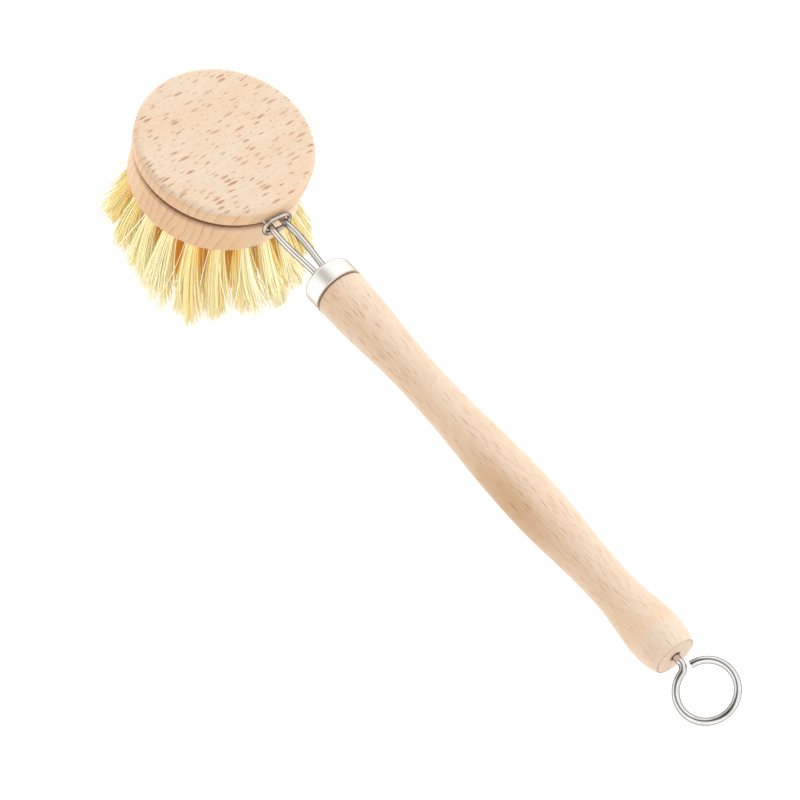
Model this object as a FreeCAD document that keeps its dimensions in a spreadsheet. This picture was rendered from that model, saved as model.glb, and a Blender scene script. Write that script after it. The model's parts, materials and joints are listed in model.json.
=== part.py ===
# Dish brush: a turned beech handle, a round tufted head held in a sprung wire loop, and a wire eye
# to hang it by. Millimetres and degrees. It lies as it rests on a table, on its front tufts and
# its hanging ring, with the handle along +X and the origin under the middle of its box.
import FreeCAD, Part
import math
import os

import Sketcher

SIZES = {
    # head block, one turned disc with a groove for the wire
    "head_radius": 25.0,
    "lower_set_back": 0.7,
    "cap_height": 5.0,
    "lower_height": 10.5,
    "groove_depth": 3.2,
    "groove_slack": 0.56,
    "cap_edge_round": 1.8,
    "cap_lip_round": 0.4,
    "shoulder_round": 1.3,
    "base_edge_round": 0.7,
    "groove_floor_round": 0.8,
    # tufts, each in its own blind hole, fanning out to the trimmed tips
    "tuft_edge_margin": 6.0,
    "tuft_hole_wall": 1.3,
    "tuft_hole_depth": 7.0,
    "tuft_clearance": 0.05,
    "tuft_reach": 25.5,
    "tuft_fan_step": 2.8,
    "tuft_tip_gap": 0.5,
    "cut_overrun": 1.0,
    # flat wire anchors across the folded tufts
    "anchor_thickness": 0.4,
    "anchor_height": 1.5,
    "anchor_bite": 0.6,
    "anchor_fold": 0.5,
    "anchor_turn": 45.0,
    # sprung wire: a loop round the groove and two legs into the handle
    "wire_radius": 0.92,
    "loop_clearance": 0.1,
    "leg_half_gap": 2.2,
    "leg_bow": 0.35,
    "leg_bow_place": 7.0,
    "leg_pinch_half_gap": 1.6,
    "leg_depth": 18.0,
    "loop_neck_round": 3.0,
    "wire_bend": 6.0,
    "handle_tilt": 8.6,
    # clamp ring that slides on the legs
    "clamp_stock_radius": 0.6,
    "clamp_half_height": 1.9,
    "clamp_clearance": 0.1,
    "clamp_head_gap": 0.3,
    # ferrule, a drawn cap on the handle's tenon
    "ferrule_place": 23.35,
    "ferrule_radius": 7.35,
    "ferrule_length": 6.6,
    "ferrule_wall": 0.5,
    "ferrule_front_round": 1.5,
    "ferrule_flare": 0.35,
    "ferrule_flare_run": 0.6,
    "ferrule_fit": 0.05,
    "ferrule_seam": 0.2,
    "leg_hole_clearance": 0.05,
    # turned handle, as runs along it and the radius at the end of each run
    "shoulder_radius": 7.25,
    "waist_run": 36.0,
    "waist_radius": 5.7,
    "belly_run": 43.3,
    "belly_radius": 7.13,
    "neck_run": 32.5,
    "neck_radius": 5.72,
    "butt_run": 18.0,
    "butt_radius": 7.2,
    "end_run": 6.3,
    "end_radius": 5.8,
    "end_edge_round": 0.3,
    # hanging ring, a wire eye with its shank in the butt
    "eye_wire_radius": 0.97,
    "eye_radius": 7.65,
    "eye_place": 11.7,
    "eye_turn_radius": 2.2,
    "eye_end_offset": 1.4,
    "eye_roll": 32.5,
    "shank_depth": 14.0,
    "shank_clearance": 0.08,
    "shank_end_gap": 0.3,
    "shank_mouth_flare": 0.3,
}

RING_COUNT = 3
TUFT_COUNT_STEP = 6
RING_NAMES = ("center", "inner", "middle", "outer")
X_AXIS = FreeCAD.Vector(1, 0, 0)
Y_AXIS = FreeCAD.Vector(0, 1, 0)
Z_AXIS = FreeCAD.Vector(0, 0, 1)
HALF_TURN = 180.0
FULL_TURN = 360.0
SAME_PLACE = 1e-6
STEEPEST_LEAN = math.pi / 4
LEAN_HALVINGS = 60
TIP_EDGE_STEPS = 720


class Size:
    """A length or angle of the sheet, with the expression that names it."""

    def __init__(self, value, text):
        self.value = value
        self.text = text

    def __add__(self, other):
        return Size(self.value + other.value, f"({self.text} + {other.text})")

    def __sub__(self, other):
        return Size(self.value - other.value, f"({self.text} - {other.text})")

    def __mul__(self, share):
        return Size(self.value * share, f"({self.text} * {share})")

    def in_ratio(self, upper, lower):
        """This size times the ratio of two others."""
        return Size(self.value * upper.value / lower.value,
                    f"({self.text} * {upper.text} / {lower.text})")


class Sizes:
    """The sheet of driving dimensions, with one Size for each of its names."""

    def __init__(self, document, table):
        sheet = document.addObject("Spreadsheet::Sheet", "sizes")
        for row, (name, number) in enumerate(table.items(), start=1):
            sheet.set(f"A{row}", name)
            sheet.set(f"B{row}", str(number))
            sheet.setAlias(f"B{row}", name)
        document.recompute()
        for name in table:
            setattr(self, name, Size(float(sheet.get(name)), f"sizes.{name}"))


document = FreeCAD.newDocument("dish_brush")
size = Sizes(document, SIZES)
ZERO = Size(0.0, "0")

# Sizes worked out from the driving ones

groove_height = size.wire_radius * 2 + size.groove_slack
lower_radius = size.head_radius - size.lower_set_back
groove_floor = lower_radius - size.groove_depth
cap_base = size.lower_height + groove_height
block_height = cap_base + size.cap_height
groove_level = size.tuft_reach.value + size.lower_height.value + groove_height.value / 2
tuft_pitch = (lower_radius - size.tuft_edge_margin) * (1 / RING_COUNT)
tip_pitch = tuft_pitch + size.tuft_fan_step
root_pitch = tuft_pitch - size.tuft_fan_step.in_ratio(size.tuft_hole_depth, size.tuft_reach)
hole_radius = (root_pitch - size.tuft_hole_wall) * 0.5
tuft_radius = hole_radius - size.tuft_clearance
tip_radius = (tip_pitch - size.tuft_tip_gap) * 0.5
tenon_radius = size.ferrule_radius - size.ferrule_wall - size.ferrule_fit
tenon_length = size.ferrule_length + size.ferrule_seam - size.ferrule_wall - size.ferrule_fit
shank_bore = size.eye_wire_radius + size.shank_clearance
shank_mouth = shank_bore + size.shank_mouth_flare
leg_hole = size.wire_radius + size.leg_hole_clearance
clamp_half_width = (size.leg_half_gap + size.leg_bow + size.wire_radius + size.clamp_clearance
                    - size.clamp_half_height)
tilt = math.radians(size.handle_tilt.value)

# The wire's loop in plan: where each leg leaves the loop and where the legs bend up to the handle

loop_radius = groove_floor.value + size.loop_clearance.value + size.wire_radius.value
neck_offset = size.leg_half_gap.value + size.loop_neck_round.value
neck_x = math.sqrt((loop_radius + size.loop_neck_round.value) ** 2 - neck_offset ** 2)
bend_run = size.wire_bend.value * math.tan(tilt / 2)
bend_x = neck_x + bend_run

# Frames: the head stands on the middle of its trimmed tips; the grip starts where the legs bend

grip = FreeCAD.Placement(FreeCAD.Vector(bend_x, 0, groove_level),
                         FreeCAD.Rotation(Y_AXIS, -size.handle_tilt.value))
tenon_place = size.ferrule_place + size.ferrule_wall + size.ferrule_fit
shoulder_run = tenon_place + tenon_length
handle_end = (shoulder_run + size.waist_run + size.belly_run + size.neck_run + size.butt_run
              + size.end_run)
eye_center = grip.multVec(X_AXIS * (handle_end + size.eye_place).value)
eye_roll = FreeCAD.Rotation(X_AXIS, size.eye_roll.value + HALF_TURN)
eye_normal = grip.Rotation.multVec(eye_roll.multVec(Z_AXIS))


def eye_reach(direction):
    """How far the hanging ring reaches along a direction of the head's frame."""
    in_plane_share = math.sqrt(1 - eye_normal.dot(direction) ** 2)
    return (eye_center.dot(direction) + size.eye_radius.value * in_plane_share
            + size.eye_wire_radius.value)


def polar(radius, angle):
    """A point of the plan at a distance and angle, in radians, from its centre."""
    return FreeCAD.Vector(radius * math.cos(angle), radius * math.sin(angle), 0)


class TuftPlace:
    """One tuft's own line: from its tip, on the trim, through its mouth, up into the head."""

    def __init__(self, name, ring, bearing):
        self.name = name
        self.mouth = polar(ring * tuft_pitch.value, bearing) + Z_AXIS * size.tuft_reach.value
        line = self.mouth - polar(ring * tip_pitch.value, bearing)
        self.length = line.Length
        self.turn = FreeCAD.Rotation(Z_AXIS, line) * FreeCAD.Rotation(Z_AXIS, math.degrees(bearing))
        self.lean = line.getAngle(Z_AXIS)
        self.stem = tuft_radius.value * math.sin(self.lean)
        self.spread_share = (tip_radius - tuft_radius).value / (self.length - self.stem)

    def at(self, run, turn=FreeCAD.Rotation()):
        """The placement on the tuft's line at a run above its mouth, with Z along the line."""
        along = self.turn.multVec(Z_AXIS * run)
        return FreeCAD.Placement(self.mouth + along, self.turn * turn)

    def tip_edge(self, angle):
        """The point of the trimmed edge at an angle round the tuft's line."""
        outwards = self.turn.multVec(polar(1, angle))
        start = self.at(-self.stem).Base + outwards * tuft_radius.value
        heading = outwards * self.spread_share - self.turn.multVec(Z_AXIS)
        return start - heading * (start.z / heading.z)


def tuft_places():
    """The place of each tuft, from the centre outwards."""
    places = [TuftPlace("tuft_" + RING_NAMES[0], 0, 0.0)]
    for ring in range(1, RING_COUNT + 1):
        count = TUFT_COUNT_STEP * ring
        for index in range(count):
            bearing = 2 * math.pi * (index + 0.5) / count
            places.append(TuftPlace(f"tuft_{RING_NAMES[ring]}_{index + 1:02d}", ring, bearing))
    return places


def tips_reach():
    """How far the tips of the last tuft, one of the two in front, reach along the head's X axis."""
    front = tuft_places()[-1]
    angles = [2 * math.pi * step / TIP_EDGE_STEPS for step in range(TIP_EDGE_STEPS)]
    return max(front.tip_edge(angle).x for angle in angles)


def resting_lean(tips):
    """The lean of the head, in radians, at which the tips and the hanging ring both touch down."""
    low, high = 0.0, STEEPEST_LEAN
    for _ in range(LEAN_HALVINGS):
        lean = (low + high) / 2
        down = FreeCAD.Vector(math.sin(lean), 0, -math.cos(lean))
        if eye_reach(down) > tips * math.sin(lean):
            high = lean
        else:
            low = lean
    return lean


def lying_placement():
    """The placement that lays the brush down and centres its box over the origin."""
    tips = tips_reach()
    lean = resting_lean(tips)
    along = FreeCAD.Vector(math.cos(lean), 0, math.sin(lean))
    middle = (eye_reach(along) - tips * math.cos(lean)) / 2
    drop = tips * math.sin(lean)
    return FreeCAD.Placement(FreeCAD.Vector(-middle, 0, drop),
                             FreeCAD.Rotation(Y_AXIS, math.degrees(lean)))


lying = lying_placement()
sub_parts = []


def along_grip(run, roll=FreeCAD.Rotation()):
    """The placement of a piece that starts a given run along the handle's axis."""
    return lying * grip * FreeCAD.Placement(X_AXIS * run, roll)


def finish_part(part, label, placement=None):
    """Name a finished sub-part, put it in its place and list it for writing."""
    part.Label = label
    part.Placement = placement or lying
    sub_parts.append(part)


def new_sketch(body, name, role):
    """A sketch of a body, attached to the origin plane with that role."""
    sketch = body.newObject("Sketcher::SketchObject", name)
    plane = [item for item in body.Origin.OriginFeatures if item.Role == role][0]
    sketch.AttachmentSupport = [(plane, "")]
    sketch.MapMode = "FlatFace"
    return sketch


def hold(sketch, kind, *where, by):
    """Add a dimension to a sketch and bind it to its expression."""
    index = sketch.addConstraint(Sketcher.Constraint(kind, *where, by.value))
    sketch.setExpression(f"Constraints[{index}]", by.text)


def hold_point(sketch, geometry, end, x, y):
    """Hold a point of a sketch by its distances from the sketch's two axes."""
    if x is ZERO:
        sketch.addConstraint(Sketcher.Constraint("PointOnObject", geometry, end, -2))
    else:
        hold(sketch, "DistanceX", -1, 1, geometry, end, by=x)
    if y is ZERO:
        sketch.addConstraint(Sketcher.Constraint("PointOnObject", geometry, end, -1))
    else:
        hold(sketch, "DistanceY", -1, 1, geometry, end, by=y)


def add_circle(sketch, x, y, radius):
    """Draw a circle with its centre and radius held."""
    center = FreeCAD.Vector(x.value, y.value, 0)
    circle = sketch.addGeometry(Part.Circle(center, Z_AXIS, radius.value))
    hold(sketch, "Radius", circle, by=radius)
    hold_point(sketch, circle, 3, x, y)


def draw_arc(sketch, center, radius, start, end):
    """Draw an arc between two points, by the shorter way, and tell which of its ends is which."""
    first = math.atan2(start.y - center.y, start.x - center.x)
    last = math.atan2(end.y - center.y, end.x - center.x)
    forward = (last - first) % (2 * math.pi) < math.pi
    circle = Part.Circle(center, Z_AXIS, radius)
    if forward:
        return sketch.addGeometry(Part.ArcOfCircle(circle, first, last)), 1, 2
    return sketch.addGeometry(Part.ArcOfCircle(circle, last, first)), 2, 1


class Outline:
    """A closed chain of lines and arcs in a sketch, with every corner held by named distances."""

    def __init__(self, sketch, x, y):
        self.sketch = sketch
        self.start = FreeCAD.Vector(x.value, y.value, 0)
        self.corner = self.start
        self.first = None
        self.last = None
        self.held_start = (x, y)

    def join(self, geometry, start, end, tangent=False):
        """Join a new piece to the end of the chain."""
        if self.last is None:
            self.first = (geometry, start)
            hold_point(self.sketch, geometry, start, *self.held_start)
        else:
            kind = "Tangent" if tangent else "Coincident"
            self.sketch.addConstraint(Sketcher.Constraint(kind, *self.last, geometry, start))
        self.last = (geometry, end)

    def line(self, x, y):
        """Draw a straight side to a corner."""
        corner = FreeCAD.Vector(x.value, y.value, 0)
        geometry = self.sketch.addGeometry(Part.LineSegment(self.corner, corner))
        self.join(geometry, 1, 2)
        hold_point(self.sketch, geometry, 2, x, y)
        self.corner = corner

    def crown(self, x, y):
        """Draw one arc that leaves along the sketch's X axis and comes down to a corner."""
        corner = FreeCAD.Vector(x.value, y.value, 0)
        rise = corner - self.corner
        radius = (rise.x ** 2 + rise.y ** 2) / (2 * abs(rise.y))
        center = self.corner + Y_AXIS * math.copysign(radius, rise.y)
        geometry, start, end = draw_arc(self.sketch, center, radius, self.corner, corner)
        self.join(geometry, start, end)
        self.sketch.addConstraint(Sketcher.Constraint("Vertical", geometry, 3, geometry, start))
        hold_point(self.sketch, geometry, end, x, y)
        self.corner = corner

    def wave(self, x, y):
        """Draw two equal arcs to a corner that leave and arrive along the sketch's X axis."""
        corner = FreeCAD.Vector(x.value, y.value, 0)
        rise = corner - self.corner
        radius = (rise.x ** 2 + rise.y ** 2) / (4 * abs(rise.y))
        lift = Y_AXIS * math.copysign(radius, rise.y)
        middle = (self.corner + corner) / 2
        begin = self.corner
        near, near_start, near_end = draw_arc(self.sketch, begin + lift, radius, begin, middle)
        far, far_start, far_end = draw_arc(self.sketch, corner - lift, radius, middle, corner)
        self.join(near, near_start, near_end)
        self.sketch.addConstraint(Sketcher.Constraint("Vertical", near, 3, near, near_start))
        self.join(far, far_start, far_end, tangent=True)
        self.sketch.addConstraint(Sketcher.Constraint("Vertical", far, 3, far, far_end))
        self.sketch.addConstraint(Sketcher.Constraint("Equal", near, far))
        hold_point(self.sketch, far, far_end, x, y)
        self.corner = corner

    def close(self):
        """Draw the last straight side, back to the first corner."""
        geometry = self.sketch.addGeometry(Part.LineSegment(self.corner, self.start))
        self.join(geometry, 1, 2)
        self.sketch.addConstraint(Sketcher.Constraint("Coincident", geometry, 2, *self.first))


def revolve(body, sketch, axis):
    """Turn a sketch once round one of its own axes."""
    feature = body.newObject("PartDesign::Revolution", body.Name + "_turned")
    feature.Profile = sketch
    feature.ReferenceAxis = (sketch, [axis])
    feature.Angle = FULL_TURN
    document.recompute()


def drill_ahead(body, sketch, depth):
    """Cut a sketch's circles into a body, along the sketch's own normal."""
    before = body.Shape.Volume
    feature = body.newObject("PartDesign::Pocket", body.Name + "_drilled")
    feature.Profile = sketch
    feature.Reversed = True
    feature.setExpression("Length", depth.text)
    document.recompute()
    if body.Shape.Volume >= before:
        raise RuntimeError(f"the holes of {body.Name} cut nothing")


def circles_at(shape, axis, place, radius):
    """Names of the circular edges of a radius whose centres lie at a place along an axis."""
    names = []
    for index, edge in enumerate(shape.Edges, start=1):
        curve = edge.Curve
        if not isinstance(curve, Part.Circle):
            continue
        same_radius = math.isclose(curve.Radius, radius.value, abs_tol=SAME_PLACE)
        if same_radius and math.isclose(curve.Center.dot(axis), place.value, abs_tol=SAME_PLACE):
            names.append(f"Edge{index}")
    return names


def round_edge(body, name, axis, place, radius, fillet):
    """Round a body's circular edge."""
    base = body.Tip
    edges = circles_at(base.Shape, axis, place, radius)
    feature = body.newObject("PartDesign::Fillet", name)
    feature.Base = (base, edges)
    feature.setExpression("Radius", fillet.text)
    document.recompute()


def make_handle():
    """The turned handle: tenon, swelling grip, rounded butt, and its drilled ends."""
    body = document.addObject("PartDesign::Body", "handle")
    sketch = new_sketch(body, "handle_outline", "XY_Plane")
    end = handle_end - tenon_place
    run = tenon_length
    outline = Outline(sketch, ZERO, ZERO)
    outline.line(ZERO, tenon_radius)
    outline.line(run, tenon_radius)
    outline.line(run, size.shoulder_radius)
    for step, radius in ((size.waist_run, size.waist_radius), (size.belly_run, size.belly_radius),
                         (size.neck_run, size.neck_radius), (size.butt_run, size.butt_radius)):
        run = run + step
        outline.wave(run, radius)
    outline.crown(end, size.end_radius)
    outline.line(end, shank_mouth)
    outline.line(end - size.shank_mouth_flare, shank_bore)
    outline.line(end - size.shank_depth, shank_bore)
    outline.line(end - size.shank_depth, ZERO)
    outline.close()
    revolve(body, sketch, "H_Axis")
    drill_legs(body, size.leg_depth)
    round_edge(body, "handle_end_round", X_AXIS, end, size.end_radius, size.end_edge_round)
    finish_part(body, "handle", along_grip(tenon_place.value))


def drill_legs(body, depth):
    """Drill the two holes for the wire's legs into a body's front."""
    sketch = new_sketch(body, body.Name + "_leg_holes", "YZ_Plane")
    add_circle(sketch, size.leg_pinch_half_gap, ZERO, leg_hole)
    center = FreeCAD.Vector(-size.leg_pinch_half_gap.value, 0, 0)
    mirrored = sketch.addGeometry(Part.Circle(center, Z_AXIS, leg_hole.value))
    sketch.addConstraint(Sketcher.Constraint("Equal", 0, mirrored))
    sketch.addConstraint(Sketcher.Constraint("Symmetric", 0, 3, mirrored, 3, -1, 1))
    drill_ahead(body, sketch, depth)


def make_ferrule():
    """The drawn cap on the tenon: a rounded front, a flared back and two holes for the wire's legs."""
    body = document.addObject("PartDesign::Body", "ferrule")
    sketch = new_sketch(body, "ferrule_outline", "XY_Plane")
    bore = size.ferrule_radius - size.ferrule_wall
    outline = Outline(sketch, ZERO, ZERO)
    outline.line(ZERO, size.ferrule_radius)
    outline.line(size.ferrule_length - size.ferrule_flare_run, size.ferrule_radius)
    outline.line(size.ferrule_length, size.ferrule_radius + size.ferrule_flare)
    outline.line(size.ferrule_length, bore)
    outline.line(size.ferrule_wall, bore)
    outline.line(size.ferrule_wall, ZERO)
    outline.close()
    revolve(body, sketch, "H_Axis")
    drill_legs(body, size.ferrule_length)
    round_edge(body, "ferrule_front", X_AXIS, ZERO, size.ferrule_radius, size.ferrule_front_round)
    finish_part(body, "ferrule", along_grip(size.ferrule_place.value))


def make_head_blank():
    """The turned disc of the head, before its holes are drilled."""
    body = document.addObject("PartDesign::Body", "head_blank")
    sketch = new_sketch(body, "head_outline", "XZ_Plane")
    outline = Outline(sketch, ZERO, ZERO)
    outline.line(lower_radius, ZERO)
    outline.line(lower_radius, size.lower_height)
    outline.line(groove_floor, size.lower_height)
    outline.line(groove_floor, cap_base)
    outline.line(size.head_radius, cap_base)
    outline.line(size.head_radius, block_height)
    outline.line(ZERO, block_height)
    outline.close()
    revolve(body, sketch, "V_Axis")
    rounds = (("base", ZERO, lower_radius, size.base_edge_round),
              ("shoulder", size.lower_height, lower_radius, size.shoulder_round),
              ("groove_low", size.lower_height, groove_floor, size.groove_floor_round),
              ("groove_high", cap_base, groove_floor, size.groove_floor_round),
              ("cap_lip", cap_base, size.head_radius, size.cap_lip_round),
              ("cap_edge", block_height, size.head_radius, size.cap_edge_round))
    for name, place, radius, fillet in rounds:
        round_edge(body, name + "_round", Z_AXIS, place, radius, fillet)
    body.Placement = FreeCAD.Placement(Z_AXIS * size.tuft_reach.value, FreeCAD.Rotation())
    return body


def bind(kind, name, placement, **expressions):
    """Make one of the basic shapes, with its sizes bound to expressions."""
    shape = document.addObject(kind, name)
    for key, value in expressions.items():
        shape.setExpression(key, value.text)
    shape.Placement = placement
    return shape


def make_drill(place):
    """The drill that makes a tuft's hole."""
    drill = bind("Part::Cylinder", place.name + "_drill", place.at(-size.cut_overrun.value),
                 Radius=hole_radius)
    drill.setExpression("Height", (size.cut_overrun + size.tuft_hole_depth + size.tuft_clearance).text)
    return drill


def make_anchor(place):
    """The flat wire that holds a tuft's fold and bites into the wood beside its hole."""
    length = (hole_radius + size.anchor_bite) * 2
    foot = size.tuft_hole_depth - size.anchor_fold - size.anchor_height
    across = place.at(foot.value, FreeCAD.Rotation(Z_AXIS, size.anchor_turn.value))
    corner = FreeCAD.Placement(FreeCAD.Vector(-length.value, -size.anchor_thickness.value, 0) / 2,
                               FreeCAD.Rotation())
    return bind("Part::Box", place.name + "_anchor", across * corner,
                Length=length, Width=size.anchor_thickness, Height=size.anchor_height)


def make_trim():
    """The level cut that trims all the tips."""
    half = (tip_pitch * RING_COUNT + tip_radius * 2 + size.cut_overrun).value
    depth = (tip_radius + size.cut_overrun) * 2
    trim = bind("Part::Box", "tip_trim", FreeCAD.Placement(FreeCAD.Vector(-half, -half, -depth.value),
                                                           FreeCAD.Rotation()), Height=depth)
    trim.Length = half * 2
    trim.Width = half * 2
    return trim


def cut(base, tool, name):
    """One solid less another."""
    feature = document.addObject("Part::Cut", name)
    feature.Base = base
    feature.Tool = tool
    return feature


def make_tuft(place, anchor, trim):
    """One tuft: a straight root in its hole and a brush that spreads to the level trim."""
    root = bind("Part::Cylinder", place.name + "_root", place.at(-place.stem), Radius=tuft_radius)
    root.Height = place.stem + size.tuft_hole_depth.value
    downwards = FreeCAD.Rotation(X_AXIS, HALF_TURN)
    brush = bind("Part::Cone", place.name + "_brush", place.at(-place.stem, downwards), Radius1=tuft_radius)
    past_trim = tip_radius.value * 2 * math.tan(place.lean) + size.cut_overrun.value
    brush.Height = place.length - place.stem + past_trim
    brush.Radius2 = tuft_radius.value + place.spread_share * brush.Height.Value
    whole = document.addObject("Part::Fuse", place.name + "_whole")
    whole.Base = root
    whole.Tool = brush
    trimmed = cut(whole, trim, place.name + "_trimmed")
    finish_part(cut(trimmed, anchor, place.name), place.name)


def make_head():
    """The head block with its drilled holes, the anchors as one group, and every tuft."""
    blank = make_head_blank()
    trim = make_trim()
    drills = []
    anchors = []
    for place in tuft_places():
        drills.append(make_drill(place))
        anchors.append(make_anchor(place))
        make_tuft(place, anchors[-1], trim)
    holes = document.addObject("Part::MultiFuse", "head_holes")
    holes.Shapes = drills + anchors
    finish_part(cut(blank, holes, "head_block"), "head_block")
    group = document.addObject("Part::Compound", "tuft_anchors")
    group.Links = anchors
    finish_part(group, "tuft_anchors")


def bowed_edges(first, second):
    """Two equal arcs between points of the grip's plane, leaving and arriving along the handle."""
    rise = second - first
    radius = (rise.x ** 2 + rise.y ** 2) / (4 * abs(rise.y))
    lift = Y_AXIS * math.copysign(radius, rise.y)
    half_angle = math.asin(abs(rise.x) / (2 * radius)) / 2
    reach = X_AXIS * math.copysign(radius * math.sin(half_angle), rise.x)
    near = first + lift - lift * math.cos(half_angle) + reach
    far = second - lift + lift * math.cos(half_angle) - reach
    middle = (first + second) / 2
    return [(first, near, middle), (middle, far, second)]


def leg_edges():
    """The wire's path from the end of one leg, in the handle, to the far side of the loop."""
    bend_start = FreeCAD.Vector(bend_run, size.leg_half_gap.value, 0)
    bow = FreeCAD.Vector(size.leg_bow_place.value, (size.leg_half_gap + size.leg_bow).value, 0)
    entry = FreeCAD.Vector(size.ferrule_place.value, size.leg_pinch_half_gap.value, 0)
    inner_end = entry + X_AXIS * (size.leg_depth.value - size.ferrule_seam.value)
    edges = [Part.LineSegment(grip.multVec(inner_end), grip.multVec(entry))]
    for stretch in bowed_edges(entry, bow) + bowed_edges(bow, bend_start):
        edges.append(Part.Arc(*(grip.multVec(point) for point in stretch)))

    neck_start = FreeCAD.Vector(neck_x, size.leg_half_gap.value, groove_level)
    bend_center = neck_start + Z_AXIS * size.wire_bend.value
    half_way = FreeCAD.Vector(math.sin(tilt / 2), 0, -math.cos(tilt / 2))
    bend_middle = bend_center + half_way * size.wire_bend.value
    edges.append(Part.Arc(grip.multVec(bend_start), bend_middle, neck_start))

    turn = math.atan2(neck_offset, neck_x)
    neck_center = neck_start + Y_AXIS * size.loop_neck_round.value
    neck_angle = -(math.pi / 2 + math.pi - turn) / 2
    neck_middle = neck_center + polar(size.loop_neck_round.value, neck_angle)
    loop_center = Z_AXIS * groove_level
    loop_start = loop_center + polar(loop_radius, turn)
    edges.append(Part.Arc(neck_start, neck_middle, loop_start))
    loop_middle = loop_center + polar(loop_radius, (turn + math.pi) / 2)
    edges.append(Part.Arc(loop_start, loop_middle, loop_center + polar(loop_radius, math.pi)))
    return [edge.toShape() for edge in edges]


def make_wire_loop():
    """The sprung wire, swept along one leg, round the groove and back along the other leg."""
    near_side = leg_edges()
    far_side = [edge.mirror(FreeCAD.Vector(), Y_AXIS) for edge in reversed(near_side)]
    path = document.addObject("Part::Feature", "wire_path")
    path.Shape = Part.Wire(near_side + far_side)
    start = grip.multVec(FreeCAD.Vector((size.ferrule_place + size.leg_depth - size.ferrule_seam).value,
                                        size.leg_pinch_half_gap.value, 0))
    facing = FreeCAD.Rotation(Z_AXIS, grip.Rotation.multVec(X_AXIS))
    section = bind("Part::Circle", "wire_section", FreeCAD.Placement(start, facing),
                   Radius=size.wire_radius)
    sweep = document.addObject("Part::Sweep", "wire_loop")
    sweep.Sections = [section]
    sweep.Spine = (path, [])
    sweep.Solid = True
    document.recompute()
    expected = math.pi * size.wire_radius.value ** 2 * path.Shape.Length
    print(f"wire length {path.Shape.Length:.1f}, volume {sweep.Shape.Volume:.2f} against {expected:.2f}")
    finish_part(sweep, "wire_loop")


def sweep_body(body, profile, path):
    """Sweep a body's profile sketch along its path sketch."""
    pipe = body.newObject("PartDesign::AdditivePipe", body.Name + "_swept")
    pipe.Profile = profile
    pipe.Spine = (path, [f"Edge{index + 1}" for index in range(path.GeometryCount)])
    document.recompute()


def make_clamp_ring():
    """The oblong ring round both legs, bent from round stock."""
    body = document.addObject("PartDesign::Body", "clamp_ring")
    path = new_sketch(body, "clamp_path", "YZ_Plane")
    middle_height = size.clamp_half_height + size.clamp_stock_radius
    width, height = clamp_half_width.value, middle_height.value
    corners = [FreeCAD.Vector(x, y, 0) for x, y in
               ((0, height), (width, height), (width, -height), (-width, -height), (-width, height))]
    top = path.addGeometry(Part.LineSegment(corners[0], corners[1]))
    right = path.addGeometry(Part.ArcOfCircle(Part.Circle(X_AXIS * width, Z_AXIS, height),
                                              -math.pi / 2, math.pi / 2))
    base = path.addGeometry(Part.LineSegment(corners[2], corners[3]))
    left = path.addGeometry(Part.ArcOfCircle(Part.Circle(X_AXIS * -width, Z_AXIS, height),
                                             math.pi / 2, 3 * math.pi / 2))
    back = path.addGeometry(Part.LineSegment(corners[4], corners[0]))
    for joint in ((top, 2, right, 2), (right, 1, base, 1), (base, 2, left, 2), (left, 1, back, 1)):
        path.addConstraint(Sketcher.Constraint("Tangent", *joint))
    path.addConstraint(Sketcher.Constraint("Coincident", back, 2, top, 1))
    path.addConstraint(Sketcher.Constraint("PointOnObject", top, 1, -2))
    path.addConstraint(Sketcher.Constraint("Horizontal", top))
    path.addConstraint(Sketcher.Constraint("Equal", right, left))
    path.addConstraint(Sketcher.Constraint("Symmetric", right, 3, left, 3, -1, 1))
    hold(path, "Radius", right, by=middle_height)
    hold_point(path, right, 3, clamp_half_width, ZERO)

    profile = new_sketch(body, "clamp_profile", "XZ_Plane")
    add_circle(profile, ZERO, middle_height, size.clamp_stock_radius)
    sweep_body(body, profile, path)
    overhang = (middle_height + size.clamp_stock_radius).value * math.sin(tilt)
    rim = size.head_radius.value + size.clamp_head_gap.value + size.clamp_stock_radius.value
    seat = (rim + overhang - bend_x) / math.cos(tilt)
    print(f"clamp ring seat {seat:.2f}, free travel to the ferrule "
          f"{size.ferrule_place.value - seat - size.clamp_stock_radius.value:.2f}")
    finish_part(body, "clamp_ring", along_grip(seat))


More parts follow.
